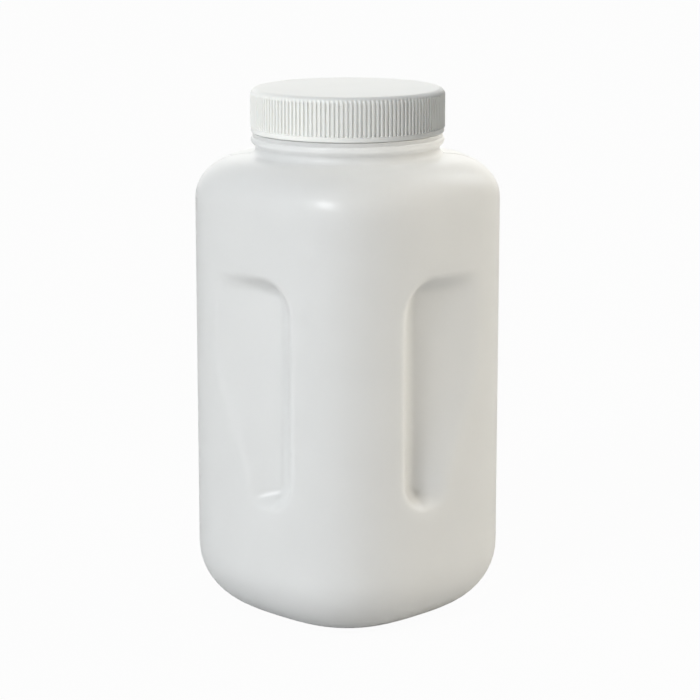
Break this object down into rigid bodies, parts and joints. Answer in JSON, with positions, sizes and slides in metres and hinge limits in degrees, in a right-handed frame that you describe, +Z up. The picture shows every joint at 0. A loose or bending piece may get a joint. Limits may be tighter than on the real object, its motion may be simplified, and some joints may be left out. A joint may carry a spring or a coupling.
{
  "type": "square wide-mouth bottle",
  "caption": "Square wide-mouth plastic bottle with full round corners, a finger recess beside each grip corner, and a ribbed screw cap.",
  "frame": {"origin": "centre of the standing ring, on the surface that the bottle stands on", "axes": "+Z up through the neck; the four faces look along +X, -X, +Y and -Y; the grip corners are at (+X, -Y) and (-X, +Y)"},
  "size_m": [0.148, 0.148, 0.2877],
  "materials": {
    "natural_plastic": "undyed, milky and translucent, satin, as blown",
    "white_plastic": "opaque white, slightly warm, fine satin, as moulded"
  },
  "bodies": {
    "root": {"bottle": "natural_plastic", "cap": "white_plastic"}
  },
  "joints": []
}
